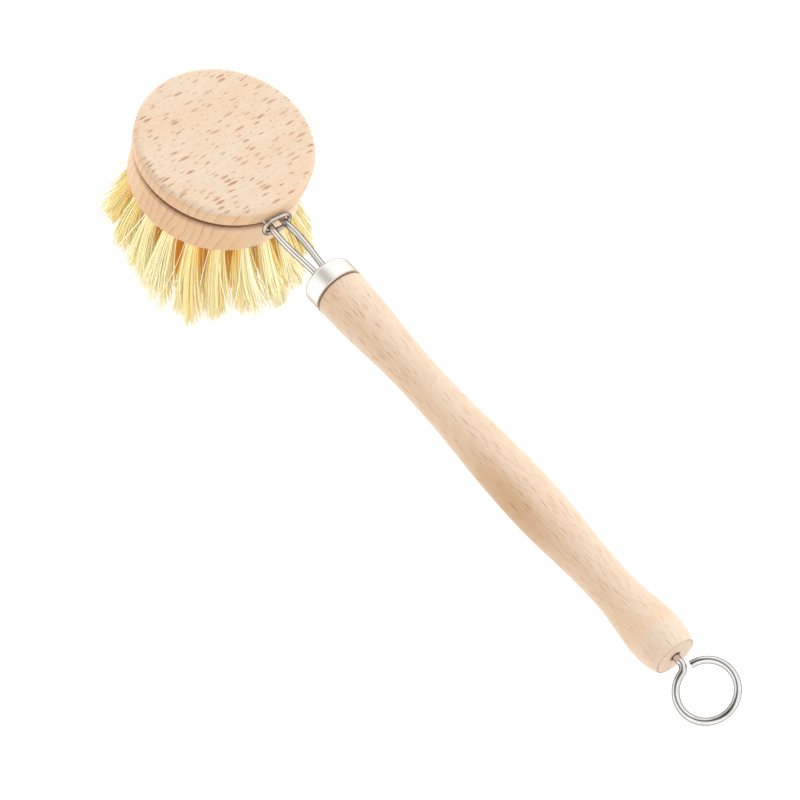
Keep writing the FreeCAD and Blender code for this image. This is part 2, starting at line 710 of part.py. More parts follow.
def make_hanging_ring():
    """The wire eye: a straight shank, a short turn aside and an open ring."""
    body = document.addObject("PartDesign::Body", "hanging_ring")
    path = new_sketch(body, "eye_path", "XY_Plane")
    shank_run = size.shank_depth - size.shank_end_gap
    center_run = shank_run + size.eye_place
    eye, turn = size.eye_radius.value, size.eye_turn_radius.value
    aside = math.sqrt((eye + turn) ** 2 - turn ** 2)
    lean = math.atan2(turn, aside)
    turn_start = FreeCAD.Vector(center_run.value - aside, 0, 0)
    shank = path.addGeometry(Part.LineSegment(FreeCAD.Vector(), turn_start))
    bend = path.addGeometry(Part.ArcOfCircle(Part.Circle(turn_start + Y_AXIS * turn, Z_AXIS, turn),
                                             -math.pi / 2, -lean))
    open_angle = math.asin(size.eye_end_offset.value / eye)
    ring = path.addGeometry(Part.ArcOfCircle(Part.Circle(X_AXIS * center_run.value, Z_AXIS, eye),
                                             open_angle - math.pi, math.pi - lean))
    path.addConstraint(Sketcher.Constraint("Coincident", shank, 1, -1, 1))
    path.addConstraint(Sketcher.Constraint("Horizontal", shank))
    path.addConstraint(Sketcher.Constraint("Tangent", shank, 2, bend, 1))
    path.addConstraint(Sketcher.Constraint("Tangent", bend, 2, ring, 2))
    hold(path, "Radius", bend, by=size.eye_turn_radius)
    hold(path, "Radius", ring, by=size.eye_radius)
    hold_point(path, ring, 3, center_run, ZERO)
    hold(path, "DistanceY", ring, 1, -1, 1, by=size.eye_end_offset)

    profile = new_sketch(body, "eye_profile", "YZ_Plane")
    add_circle(profile, ZERO, ZERO, size.eye_wire_radius)
    sweep_body(body, profile, path)
    finish_part(body, "hanging_ring", along_grip((handle_end - shank_run).value, eye_roll))


def check_and_write():
    """Stop on any failed object or unsound shape, then write every sub-part's solid."""
    document.recompute()
    for item in document.Objects:
        if "Invalid" in item.State or "Error" in item.State:
            raise RuntimeError(f"{item.Name} failed: {item.State}")
    for part in sub_parts:
        if part.Shape.isNull() or not part.Shape.isValid():
            raise RuntimeError(f"{part.Label} has no sound shape")
    os.makedirs("parts", exist_ok=True)
    for part in sub_parts:
        part.Shape.exportStep(f"parts/{part.Label}.step")
    print(f"{len(sub_parts)} sub-parts written")


make_handle()
make_ferrule()
make_wire_loop()
make_clamp_ring()
make_head()
make_hanging_ring()
check_and_write()
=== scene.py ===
"""Dish brush: finishes for its turned wood and drawn metal, and the fibres of its tufts.

Lengths are in metres, or in millimetres where a class says so, and angles in degrees. The frame is
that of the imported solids: +X runs from the head to the hanging ring, +Z is up, and the brush lies
on its front tufts and its ring.
"""
from __future__ import annotations

import json
import logging
import math
import random
from dataclasses import dataclass, field
from enum import Enum

import bmesh
import bpy
from bpy.types import Collection, Material, Mesh, Node, NodeOutputs, NodeSocket, NodeTree, Object
from mathutils import Matrix, Quaternion, Vector


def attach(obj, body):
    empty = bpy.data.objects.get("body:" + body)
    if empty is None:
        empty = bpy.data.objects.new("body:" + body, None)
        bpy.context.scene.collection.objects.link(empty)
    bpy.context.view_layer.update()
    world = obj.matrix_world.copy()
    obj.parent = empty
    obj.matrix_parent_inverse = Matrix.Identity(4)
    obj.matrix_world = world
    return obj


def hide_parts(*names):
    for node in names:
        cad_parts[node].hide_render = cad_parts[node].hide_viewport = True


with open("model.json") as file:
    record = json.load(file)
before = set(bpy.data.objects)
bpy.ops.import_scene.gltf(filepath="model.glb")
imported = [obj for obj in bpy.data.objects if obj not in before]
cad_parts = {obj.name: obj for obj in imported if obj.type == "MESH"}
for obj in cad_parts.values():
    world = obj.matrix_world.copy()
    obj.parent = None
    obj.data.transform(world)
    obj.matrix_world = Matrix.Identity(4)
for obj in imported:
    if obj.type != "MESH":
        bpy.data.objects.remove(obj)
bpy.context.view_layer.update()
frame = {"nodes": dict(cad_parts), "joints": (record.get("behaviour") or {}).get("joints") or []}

MM = 0.001
PER_MM = 1000.0
NOISE_MIDDLE = 0.5
HEAD_BODY = "head"
log = logging.getLogger("dish_brush")

Color = tuple[float, float, float]


class Tint(Enum):
    """How one colour is laid on another."""

    COVER = "MIX"
    DEEPEN = "MULTIPLY"


class Ring(Enum):
    """The rings of tufts, from the middle outwards."""

    CENTER = 0
    INNER = 1
    MIDDLE = 2
    OUTER = 3


def rgba(color: Color) -> tuple[float, float, float, float]:
    """A colour with full cover."""
    return (*color, 1.0)


@dataclass
class NodeSheet:
    """Lays out the nodes of one material, world or node group."""

    tree: NodeTree

    def add(self, kind: str, inputs: dict | None = None, **settings: object) -> Node:
        """Add a node.

        Args:
            kind: The node's type name.
            inputs: Values or sockets for its inputs, by name or number.
            **settings: Values for the node's own properties.

        Returns:
            The new node.
        """
        node = self.tree.nodes.new(kind)
        for name, value in settings.items():
            setattr(node, name, value)
        self.fill(node, inputs or {})
        return node

    def connect(self, value: object, socket: NodeSocket) -> None:
        """Link an input socket to another socket, or set it to a plain value.

        Args:
            value: The socket to read or the value to set.
            socket: The input socket.
        """
        if isinstance(value, NodeSocket):
            self.tree.links.new(value, socket)
        else:
            socket.default_value = value

    def fill(self, node: Node, inputs: dict) -> None:
        """Set or link a node's inputs, given by name or number."""
        for name, value in inputs.items():
            self.connect(value, node.inputs[name])

    def math(self, operation: str, *values: object, clamp: bool = False) -> NodeSocket:
        """The result of one arithmetic step on numbers or sockets."""
        node = self.add("ShaderNodeMath", dict(enumerate(values)), operation=operation, use_clamp=clamp)
        return node.outputs[0]

    def vector(self, operation: str, *values: object) -> NodeSocket:
        """The result of one vector step, as a number where the operation gives a number."""
        node = self.add("ShaderNodeVectorMath", dict(enumerate(values)), operation=operation)
        return node.outputs["Value" if operation in ("DOT_PRODUCT", "LENGTH") else "Vector"]

    def scale(self, vector: object, factor: float) -> NodeSocket:
        """A vector times a number."""
        node = self.add("ShaderNodeVectorMath", {0: vector, "Scale": factor}, operation="SCALE")
        return node.outputs["Vector"]

    def ramp(self, value: object, low: object, high: object, start: object = 0.0,
             end: object = 1.0) -> NodeSocket:
        """A smooth step of a value from one range to another.

        Args:
            value: The socket to read.
            low: The value where the step starts.
            high: The value where the step ends.
            start: The result at and before low.
            end: The result at and after high.

        Returns:
            The result's socket.
        """
        ends = {"Value": value, "From Min": low, "From Max": high, "To Min": start, "To Max": end}
        return self.add("ShaderNodeMapRange", ends, interpolation_type="SMOOTHSTEP").outputs[0]

    def weight(self, share: object, least: float) -> NodeSocket:
        """A weight that goes from least to 1 with a share."""
        return self.math("MULTIPLY_ADD", share, 1.0 - least, least)

    def blend(self, factor: object, first: object, second: object, tint: Tint = Tint.COVER) -> NodeSocket:
        """A mix of two colours.

        Args:
            factor: The share of the second colour, from 0 to 1.
            first: The colour that the mix starts from.
            second: The colour that is laid on it.
            tint: How it is laid on.

        Returns:
            The mixed colour's socket.
        """
        node = self.add("ShaderNodeMix", data_type="RGBA", blend_type=tint.value)
        for name, value in (("Factor_Float", factor), ("A_Color", first), ("B_Color", second)):
            self.connect(value, next(item for item in node.inputs if item.identifier == name))
        return next(item for item in node.outputs if item.identifier == "Result_Color")

    def noise(self, place: object, scale: float, detail: float) -> NodeSocket:
        """Soft noise from 0 to 1 at a place."""
        node = self.add("ShaderNodeTexNoise", {"Vector": place, "Scale": scale, "Detail": detail})
        return node.outputs[0]

    def stretched_noise(self, place: object, stretch: object, detail: float) -> NodeSocket:
        """Soft noise from 0 to 1 that changes faster along some directions than along others."""
        return self.noise(self.vector("MULTIPLY", place, stretch), 1.0, detail)

    def bump(self, height: object, distance: float, strength: float) -> NodeSocket:
        """A normal that follows a height, of which 1 stands for a distance."""
        node = self.add("ShaderNodeBump", {"Height": height, "Distance": distance, "Strength": strength})
        return node.outputs[0]


class SharedGroup(NodeSheet):
    """The sheet of a shader node group that is built once and placed in several materials.

    Its inputs and outputs are listed by the kind of their sockets.
    """

    NAME = ""
    INPUTS = {}
    OUTPUTS = {}

    @classmethod
    def group(cls) -> NodeTree:
        """The node group, built on first use.

        Returns:
            The group's node tree.
        """
        if cls.NAME in bpy.data.node_groups:
            return bpy.data.node_groups[cls.NAME]
        sheet = cls(bpy.data.node_groups.new(cls.NAME, "ShaderNodeTree"))
        for kinds, side in ((cls.INPUTS, "INPUT"), (cls.OUTPUTS, "OUTPUT")):
            for kind, labels in kinds.items():
                for label in labels:
                    sheet.tree.interface.new_socket(label, in_out=side, socket_type=f"NodeSocket{kind}")
        given = sheet.add("NodeGroupInput").outputs
        sheet.add("NodeGroupOutput", sheet.build(given))
        return sheet.tree

    def build(self, given: NodeOutputs) -> dict[str, NodeSocket]:
        """Lay out the nodes from the group's inputs to what goes to its outputs, by name."""
        raise NotImplementedError


class BeechGrain(SharedGroup):
    """The figure of beech, shared by the handle and the head, with painted warm shade on its sides.

    The place it reads is in millimetres in the wood's own frame: X along the grain, Y across the
    lines of the growth rings and Z along the rays. A stretch says how fast a noise changes along
    these, and a facing is the range of the surface's direction over which an effect comes in.
    """

    NAME = "beech_grain"
    INPUTS = {"Vector": ("Place", "Facing", "Fleck Cell", "Line Cell"),
              "Float": ("Fleck Strength", "Line Strength", "Ring Strength", "Side Warmth", "Ring Spacing"),
              "Color": ("Pale", "Warm", "Deep")}
    OUTPUTS = {"Color": ("Color",), "Float": ("Roughness", "Height")}
    FLAT_FACING = (0.25, 0.75)
    FLECK_FACING = (0.6, 0.95)
    END_FACING = (0.15, 0.6)
    WANDER_SCALE = 0.11
    WANDER_REACH = (3.0, 0.9, 1.5)
    SPINDLE_EXPONENT = 1.4
    SPINDLE_POWER = 1.5
    SPINDLE_CORE_SHARE = 0.55
    SPINDLE_FAINTEST_SHARE = 0.4
    FLECK_SCATTER = 0.95
    FLECK_SIZES = (0.09, 0.36)
    SPECK_SIZES = (0.06, 0.3)
    SPECK_SHIFT = (13.7, 5.3, 2.9)
    SPECK_CELL_SHARE = 0.45
    SPECK_STRENGTH_SHARE = 0.5
    ROLL_RADIUS = 7.0
    LINE_SCATTER = 0.5
    LINE_SIZES = (0.055, 0.23)
    LINE_SHIFT_SHARE = 7.0
    SHORT_LINE_SHIFT = (3.1, 7.7, 0.0)
    SHORT_LINE_CELL_SHARE = 0.65
    SHORT_LINE_STRENGTH_SHARE = 0.6
    RING_SWING_STRETCH = (0.02, 0.09, 0.045)
    RING_SWING = 6.5
    RING_ACROSS = (0.02, 0.99, 0.09)
    RING_POWER = 2.5
    RING_SLOW_SHARE = 0.5
    RING_LINE = (0.86, 0.95, 0.0, 0.5)
    RING_EDGE = (1.0, 0.96)
    RING_FADE_STRETCH = (0.05, 0.45, 0.12)
    RING_FADE = (0.35, 0.62, 0.4, 1.0)
    RING_LONG_GRAIN_SHARE = 0.1
    FIBRE_STRETCH = (0.14, 2.4, 2.4)
    FIBRE_TONE = (0.4, 0.75, 0.0, 0.13)
    PATCH_STRETCH = (0.035, 0.13, 0.13)
    PATCH_TONE = (0.3, 0.7, 0.0, 0.25)
    SIDE_LONG_GRAIN_SHARE = 0.7
    ROUGHNESS = 0.44
    FIBRE_ROUGHNESS = 0.16
    FLECK_ROUGHNESS = -0.07
    FLECK_HEIGHT = -0.4

    def spindles(self, place: object, cell: object, sizes: tuple[float, float],
                 scatter: float) -> NodeSocket:
        """Scattered spindles, pointed along the grain.

        Args:
            place: The place to read.
            cell: The size of the room that each spindle has.
            sizes: The smallest and the largest spindle, as shares of their room.
            scatter: How far each spindle stands from the middle of its room, from 0 to 1.

        Returns:
            A mask that is 1 inside a dark spindle.
        """
        least, most = sizes
        inside = self.vector("DIVIDE", place, cell)
        cells = self.add("ShaderNodeTexVoronoi", {"Vector": inside, "Scale": 1.0, "Randomness": scatter,
                                                  "Exponent": self.SPINDLE_EXPONENT},
                         voronoi_dimensions="2D", distance="MINKOWSKI").outputs
        chance = self.add("ShaderNodeSeparateColor", {"Color": cells["Color"]}).outputs
        spread = self.math("POWER", chance[0], self.SPINDLE_POWER)
        radius = self.math("MULTIPLY_ADD", spread, most - least, least)
        mask = self.ramp(self.math("DIVIDE", cells["Distance"], radius), 1.0, self.SPINDLE_CORE_SHARE)
        return self.math("MULTIPLY", mask, self.weight(chance[1], self.SPINDLE_FAINTEST_SHARE))

    def rolled(self, place: object) -> NodeSocket:
        """A place rolled out flat round the grain's axis, for lines on a turned stick.

        Args:
            place: The place to read.

        Returns:
            The place along the grain and round it.
        """
        part = self.add("ShaderNodeSeparateXYZ", {"Vector": place}).outputs
        around = self.math("MULTIPLY", self.math("ARCTAN2", part["Y"], part["Z"]), self.ROLL_RADIUS)
        return self.add("ShaderNodeCombineXYZ", {"X": part["X"], "Y": around}).outputs[0]

    def rows(self, place: object, cell: object) -> NodeSocket:
        """Fine spindles in rows along the grain, each row shifted so that they don't start in step.

        Args:
            place: The rolled out place to read.
            cell: The size of the room that each spindle has.

        Returns:
            A mask that is 1 inside a dark spindle.
        """
        part = self.add("ShaderNodeSeparateXYZ", {"Vector": place}).outputs
        room = self.add("ShaderNodeSeparateXYZ", {"Vector": cell}).outputs
        row = self.math("FLOOR", self.math("DIVIDE", part["Y"], room["Y"]))
        shift = self.add("ShaderNodeTexWhiteNoise", {"W": row}, noise_dimensions="1D").outputs["Value"]
        reach = self.math("MULTIPLY", room["X"], self.LINE_SHIFT_SHARE)
        along = self.math("MULTIPLY_ADD", shift, reach, part["X"])
        shifted = self.add("ShaderNodeCombineXYZ", {"X": along, "Y": part["Y"]}).outputs[0]
        return self.spindles(shifted, cell, self.LINE_SIZES, self.LINE_SCATTER)

    def rings(self, place: object, spacing: object) -> NodeSocket:
        """Growth rings, each deepening slowly and ending in a thin line.

        Args:
            place: The place to read.
            spacing: The width of a ring.

        Returns:
            A mask that is 1 where a ring is darkest.
        """
        swing = self.stretched_noise(place, self.RING_SWING_STRETCH, detail=1.0)
        across = self.vector("DOT_PRODUCT", place, self.RING_ACROSS)
        across = self.math("MULTIPLY_ADD", swing, self.RING_SWING, across)
        phase = self.math("FRACT", self.math("DIVIDE", across, spacing))
        slow = self.math("MULTIPLY", self.math("POWER", phase, self.RING_POWER), self.RING_SLOW_SHARE)
        ring = self.math("ADD", slow, self.ramp(phase, *self.RING_LINE))
        ring = self.math("MULTIPLY", ring, self.ramp(phase, *self.RING_EDGE))
        fading = self.stretched_noise(place, self.RING_FADE_STRETCH, detail=1.0)
        return self.math("MULTIPLY", ring, self.ramp(fading, *self.RING_FADE))

    def build(self, given: NodeOutputs) -> dict[str, NodeSocket]:
        """Lay out the group's nodes.

        Args:
            given: The group's inputs, by name.

        Returns:
            What goes to its outputs, by name.
        """
        wander = self.add("ShaderNodeTexNoise", {"Vector": given["Place"], "Scale": self.WANDER_SCALE,
                                                 "Detail": 1.0}).outputs["Color"]
        drift = self.vector("SUBTRACT", wander, (NOISE_MIDDLE,) * 3)
        place = self.vector("ADD", given["Place"], self.vector("MULTIPLY", drift, self.WANDER_REACH))
        turned = self.vector("ABSOLUTE", given["Facing"])
        facing = self.add("ShaderNodeSeparateXYZ", {"Vector": turned}).outputs
        flat_share = self.ramp(facing["Z"], *self.FLAT_FACING)
        fleck_share = self.ramp(facing["Z"], *self.FLECK_FACING)
        end_share = self.ramp(facing["X"], *self.END_FACING)

        flecks = self.spindles(place, given["Fleck Cell"], self.FLECK_SIZES, self.FLECK_SCATTER)
        specks = self.spindles(self.vector("ADD", place, self.SPECK_SHIFT),
                               self.scale(given["Fleck Cell"], self.SPECK_CELL_SHARE),
                               self.SPECK_SIZES, self.FLECK_SCATTER)
        rolled = self.rolled(given["Place"])
        lines = self.rows(rolled, given["Line Cell"])
        short_lines = self.rows(self.vector("ADD", rolled, self.SHORT_LINE_SHIFT),
                                self.scale(given["Line Cell"], self.SHORT_LINE_CELL_SHARE))
        fibres = self.stretched_noise(place, self.FIBRE_STRETCH, detail=3.0)
        patches = self.stretched_noise(place, self.PATCH_STRETCH, detail=2.0)
        rings = self.rings(given["Place"], given["Ring Spacing"])

        # Painted shade, partly the wood's own tone: faces turned from the rays, the sides of a turned part,
        # get the warmer colour, most on end grain.
        side = self.math("MULTIPLY", self.math("SUBTRACT", 1.0, flat_share), given["Side Warmth"])
        side = self.math("MULTIPLY", side, self.weight(end_share, self.SIDE_LONG_GRAIN_SHARE))
        warmth = self.math("ADD", self.ramp(patches, *self.PATCH_TONE), side, clamp=True)
        base = self.blend(warmth, given["Pale"], given["Warm"])
        color = self.blend(self.ramp(fibres, *self.FIBRE_TONE), base, given["Deep"])
        fleck_strength = self.math("MULTIPLY", given["Fleck Strength"], fleck_share)
        speck_strength = self.math("MULTIPLY", fleck_strength, self.SPECK_STRENGTH_SHARE)
        ring_strength = self.math("MULTIPLY", given["Ring Strength"],
                                  self.weight(end_share, self.RING_LONG_GRAIN_SHARE))
        line_strength = given["Line Strength"]
        short_strength = self.math("MULTIPLY", line_strength, self.SHORT_LINE_STRENGTH_SHARE)
        for mask, strength in ((flecks, fleck_strength), (specks, speck_strength), (rings, ring_strength),
                               (lines, line_strength), (short_lines, short_strength)):
            color = self.blend(self.math("MULTIPLY", mask, strength, clamp=True), color, given["Deep"])
        marks = self.math("MULTIPLY", flecks, fleck_share)
        rough = self.math("MULTIPLY_ADD", fibres, self.FIBRE_ROUGHNESS, self.ROUGHNESS)
        rough = self.math("MULTIPLY_ADD", marks, self.FLECK_ROUGHNESS, rough)
        height = self.math("MULTIPLY_ADD", marks, self.FLECK_HEIGHT, fibres)
        return {"Color": color, "Roughness": rough, "Height": height}


class MetalGrain(SharedGroup):
    """Fine drawing marks and handling haze on metal, shared by the ferrule and the wires."""

    NAME = "drawn_metal"
    INPUTS = {"Vector": ("Place", "Stretch"), "Color": ("Bright", "Dull"), "Float": ("Smooth", "Haze")}
    OUTPUTS = {"Color": ("Color",), "Float": ("Roughness", "Height")}
    HAZE_SCALE = 0.35
    MARK_SHARE = 0.6
    HAZE_SHARE = 0.4
    DULL_COVER = (0.3, 0.75)

    def build(self, given: NodeOutputs) -> dict[str, NodeSocket]:
        """Lay out the group's nodes.

        Args:
            given: The group's inputs, by name.

        Returns:
            What goes to its outputs, by name.
        """
        marks = self.stretched_noise(given["Place"], given["Stretch"], detail=3.0)
        haze = self.noise(given["Place"], self.HAZE_SCALE, detail=2.0)
        cover = self.math("MULTIPLY", haze, self.HAZE_SHARE)
        cover = self.math("MULTIPLY_ADD", marks, self.MARK_SHARE, cover)
        color = self.blend(self.ramp(cover, *self.DULL_COVER), given["Bright"], given["Dull"])
        rough = self.math("MULTIPLY_ADD", cover, given["Haze"], given["Smooth"])
        return {"Color": color, "Roughness": rough, "Height": marks}


class TurnedMarkMask(SharedGroup):
    """Where a ring round a turned axis is toned, shared by the handle and the head."""

    NAME = "turned_mark"
    INPUTS = {"Float": ("Along", "Radius", "Mark Along", "Mark Radius", "Along Reach", "Radius Reach",
                        "Core")}
    OUTPUTS = {"Float": ("Mask",)}

    def build(self, given: NodeOutputs) -> dict[str, NodeSocket]:
        """Lay out the group's nodes.

        Args:
            given: The group's inputs, by name.

        Returns:
            What goes to its outputs, by name.
        """
        away = self.math("SUBTRACT", given["Along"], given["Mark Along"])
        away = self.math("DIVIDE", away, given["Along Reach"])
        out = self.math("SUBTRACT", given["Radius"], given["Mark Radius"])
        out = self.math("DIVIDE", out, given["Radius Reach"])
        squares = self.math("MULTIPLY_ADD", away, away, self.math("MULTIPLY", out, out))
        return {"Mask": self.ramp(self.math("SQRT", squares), 1.0, given["Core"])}


def new_material(name: str) -> tuple[Material, NodeSheet, Node]:
    """A material with one shader.

    Args:
        name: The material's name.

    Returns:
        The material, the sheet to lay nodes on and the shader.
    """
    material = bpy.data.materials.new(name)
    material.use_nodes = True
    material.node_tree.nodes.clear()
    sheet = NodeSheet(material.node_tree)
    shader = sheet.add("ShaderNodeBsdfPrincipled")
    sheet.add("ShaderNodeOutputMaterial", {"Surface": shader.outputs[0]})
    return material, sheet, shader


def wood_turn(grain: Vector, rays: Vector) -> Matrix:
    """The turn from the part's frame to a wood frame.

    Args:
        grain: The direction of the grain.
        rays: A direction near that of the rays.

    Returns:
        The matrix whose rows point along the grain, across the rings' lines and along the rays.
    """
    along = grain.normalized()
    across = rays.cross(along).normalized()
    return Matrix((along, across, along.cross(across)))


def spindle_room(length: float, width: float) -> Vector:
    """The room that each spindle has, in millimetres along and across the grain."""
    return Vector((length, width, 1.0))


@dataclass(frozen=True)
class TurnedMark:
    """A toned ring round a turned axis, in millimetres along it and out from it; some rings are painted
    shade.

    A mark with a side lies only to that side of the axis.
    """

    along: float
    radius: float
    along_reach: float
    radius_reach: float
    strength: float
    core_share: float = 0.35
    color: Color = (0.17, 0.065, 0.027)
    tint: Tint = Tint.COVER
    side: Vector | None = None
    side_start: float = 1.0
    side_end: float = 8.0


@dataclass(frozen=True)
class BeechFinish:
    """Bare, finely sanded beech."""

    name: str
    grain: Vector
    rays: Vector
    origin: Vector
    turned_axis: Vector
    marks: tuple[TurnedMark, ...]
    side_warmth: float
    fleck_cell: Vector
    fleck_strength: float
    ring_strength: float
    pale: Color
    warm: Color
    deep: Color
    line_cell: Vector = field(default_factory=lambda: spindle_room(11.5, 0.5))
    line_strength: float = 0.0
    specular: float = 0.32
    sheen: float = 0.3
    sheen_roughness: float = 0.4
    sheen_tint: Color = (1.0, 0.96, 0.9)
    ring_spacing: float = 2.2
    bump_distance: float = 0.05 * MM
    bump_strength: float = 0.35

    def material(self) -> Material:
        """The material for this finish.

        Returns:
            The new material.
        """
        material, sheet, shader = new_material(self.name)
        turn = wood_turn(self.grain, self.rays)
        angles = turn.to_euler()
        where = sheet.add("ShaderNodeTexCoord").outputs
        place = sheet.add("ShaderNodeMapping", {"Vector": where["Object"], "Rotation": angles,
                                                "Scale": (PER_MM, PER_MM, PER_MM),
                                                "Location": turn @ self.origin * -PER_MM}).outputs[0]
        facing = sheet.add("ShaderNodeMapping", {"Vector": where["Normal"], "Rotation": angles},
                           vector_type="VECTOR").outputs[0]
        values = {"Place": place, "Facing": facing, "Fleck Cell": self.fleck_cell,
                  "Line Cell": self.line_cell, "Fleck Strength": self.fleck_strength,
                  "Line Strength": self.line_strength, "Ring Strength": self.ring_strength,
                  "Side Warmth": self.side_warmth, "Ring Spacing": self.ring_spacing,
                  "Pale": rgba(self.pale), "Warm": rgba(self.warm), "Deep": rgba(self.deep)}
        grain = sheet.add("ShaderNodeGroup", values, node_tree=BeechGrain.group()).outputs
        sheet.fill(shader, {"Base Color": self.marked(sheet, place, turn, grain["Color"]),
                            "Roughness": grain["Roughness"],
                            "Normal": sheet.bump(grain["Height"], self.bump_distance, self.bump_strength),
                            "Specular IOR Level": self.specular, "Sheen Weight": self.sheen,
                            "Sheen Roughness": self.sheen_roughness,
                            "Sheen Tint": rgba(self.sheen_tint)})
        return material

    def marked(self, sheet: NodeSheet, place: NodeSocket, turn: Matrix, color: NodeSocket) -> NodeSocket:
        """The wood's colour with its turned marks, painted shade among them.

        Args:
            sheet: The sheet to lay nodes on.
            place: The place in the wood's frame.
            turn: The turn from the part's frame to the wood's frame.
            color: The colour so far.

        Returns:
            The colour's socket.
        """
        axis = turn @ self.turned_axis
        along = sheet.vector("DOT_PRODUCT", place, axis)
        radius = sheet.vector("LENGTH", sheet.vector("CROSS_PRODUCT", place, axis))
        for mark in self.marks:
            values = {"Along": along, "Radius": radius, "Mark Along": mark.along,
                      "Mark Radius": mark.radius, "Along Reach": mark.along_reach,
                      "Radius Reach": mark.radius_reach, "Core": mark.core_share}
            ring = sheet.add("ShaderNodeGroup", values, node_tree=TurnedMarkMask.group())
            cover = sheet.math("MULTIPLY", ring.outputs["Mask"], mark.strength)
            if mark.side is not None:
                toward = sheet.vector("DOT_PRODUCT", place, turn @ mark.side)
                cover = sheet.math("MULTIPLY", cover, sheet.ramp(toward, mark.side_start, mark.side_end))
            color = sheet.blend(cover, color, rgba(mark.color), mark.tint)
        return color


@dataclass(frozen=True)
class MetalFinish:
    """Drawn or plated metal, whose colour darkens toward its outline as a painted reflection of dark
    surroundings.
    """

    name: str
    axis: Vector
    stretch: Vector
    bright: Color
    dull: Color
    # edge is the colour of the painted dark rim, and also the metal's own edge tint.
    edge: Color
    smooth: float
    haze: float
    dark_rim_start: float = 0.2
    dark_rim_end: float = 0.6
    facing_blend: float = 0.5
    bump_distance: float = 0.004 * MM
    bump_strength: float = 0.3

    def material(self) -> Material:
        """The material for this finish.

        Returns:
            The new material.
        """
        material, sheet, shader = new_material(self.name)
        turn = self.axis.rotation_difference(Vector((1.0, 0.0, 0.0))).to_euler()
        where = sheet.add("ShaderNodeTexCoord").outputs
        place = sheet.add("ShaderNodeMapping", {"Vector": where["Object"], "Rotation": turn,
                                                "Scale": (PER_MM, PER_MM, PER_MM)}).outputs[0]
        values = {"Place": place, "Stretch": self.stretch, "Bright": rgba(self.bright),
                  "Dull": rgba(self.dull), "Smooth": self.smooth, "Haze": self.haze}
        marks = sheet.add("ShaderNodeGroup", values, node_tree=MetalGrain.group()).outputs
        # Painted reflection: by the viewing angle, the colour goes to the dark edge colour toward the
        # outline.
        facing = sheet.add("ShaderNodeLayerWeight", {"Blend": self.facing_blend}).outputs["Facing"]
        edge = sheet.ramp(facing, self.dark_rim_start, self.dark_rim_end)
        sheet.fill(shader, {"Base Color": sheet.blend(edge, marks["Color"], rgba(self.edge)),
                            "Roughness": marks["Roughness"],
                            "Normal": sheet.bump(marks["Height"], self.bump_distance, self.bump_strength),
                            "Metallic": 1.0, "Specular Tint": rgba(self.edge)})
        return material


@dataclass(frozen=True)
class FibreFinish:
    """Plant fibre, from bleached through pale and straw to amber by the tone kept along each fibre, which
    also holds painted shade deep in the tufts.
    """

    name: str = "plant_fibre"
    bleached: Color = (0.92, 0.88, 0.72)
    pale: Color = (0.83, 0.75, 0.445)
    straw: Color = (0.80, 0.635, 0.25)
    amber: Color = (0.78, 0.36, 0.045)
    pale_tones: tuple[float, float] = (-0.4, 0.1)
    straw_tones: tuple[float, float] = (0.1, 0.55)
    amber_tones: tuple[float, float] = (0.5, 1.0)
    mottle_scale: float = 0.9
    mottle_tone: float = 0.3
    smooth: float = 0.45
    mottle_rough: float = 0.2
    specular: float = 0.18

    def material(self) -> Material:
        """The material for this finish.

        Returns:
            The new material.
        """
        material, sheet, shader = new_material(self.name)
        tone = sheet.add("ShaderNodeAttribute", attribute_name="fibre_tone").outputs["Fac"]
        where = sheet.add("ShaderNodeTexCoord")
        place = sheet.scale(where.outputs["Object"], PER_MM)
        mottle = sheet.noise(place, self.mottle_scale, detail=2.0)
        uneven = sheet.math("SUBTRACT", mottle, NOISE_MIDDLE)
        shade = sheet.math("MULTIPLY_ADD", uneven, self.mottle_tone, tone)
        color = rgba(self.bleached)
        for tones, deeper in ((self.pale_tones, self.pale), (self.straw_tones, self.straw),
                              (self.amber_tones, self.amber)):
            color = sheet.blend(sheet.ramp(shade, *tones), color, rgba(deeper))
        rough = sheet.math("MULTIPLY_ADD", mottle, self.mottle_rough, self.smooth)
        sheet.fill(shader, {"Base Color": color, "Roughness": rough, "Specular IOR Level": self.specular})
        return material


def dress(node: str, material: Material) -> None:
    """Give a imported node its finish.

    Args:
        node: The node's name.
        material: The finish's material.
    """
    piece = frame["nodes"][node]
    piece.data.materials.clear()
    piece.data.materials.append(material)
    log.info("%s: finish %s, %d faces", node, material.name, len(piece.data.polygons))


def joint_named(name: str) -> dict:
    """The frame's joint of that name."""
    return next(joint for joint in frame["joints"] if joint["name"] == name)


